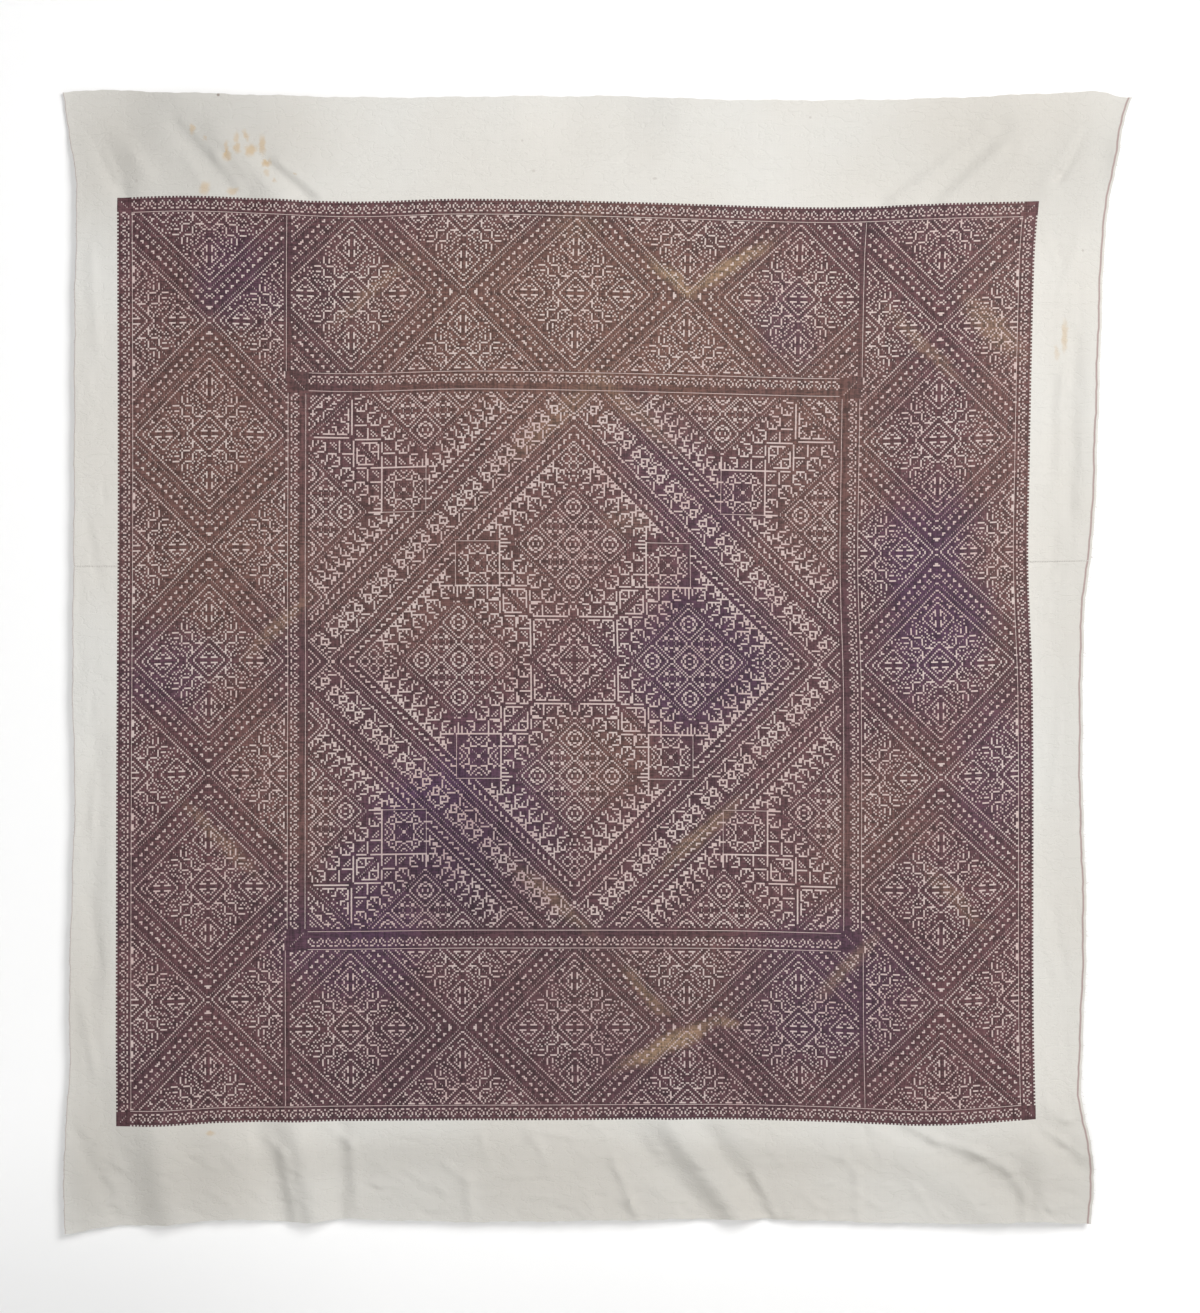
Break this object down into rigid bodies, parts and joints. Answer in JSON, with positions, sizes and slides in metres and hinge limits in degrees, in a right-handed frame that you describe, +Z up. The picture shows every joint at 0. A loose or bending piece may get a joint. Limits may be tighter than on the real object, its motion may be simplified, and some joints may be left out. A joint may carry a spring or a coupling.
{
  "type": "embroidered silk panel",
  "caption": "Near-square cotton hanging, two lengths sewn edge to edge, with a square field of counted silk embroidery inside plain margins.",
  "frame": {"origin": "the middle hanging point, on the back of the top edge", "axes": "+Z up the cloth, +X to the right as seen from the front, -Y out of the embroidered front"},
  "size_m": [1.414, 0.0216, 1.5102],
  "materials": {
    "embroidered_cotton": "plain-woven cotton with purple silk stitches, matt with a soft sheen on the silk"
  },
  "bodies": {
    "root": {"upper_cloth": "embroidered_cotton", "lower_cloth": "embroidered_cotton"}
  },
  "joints": []
}
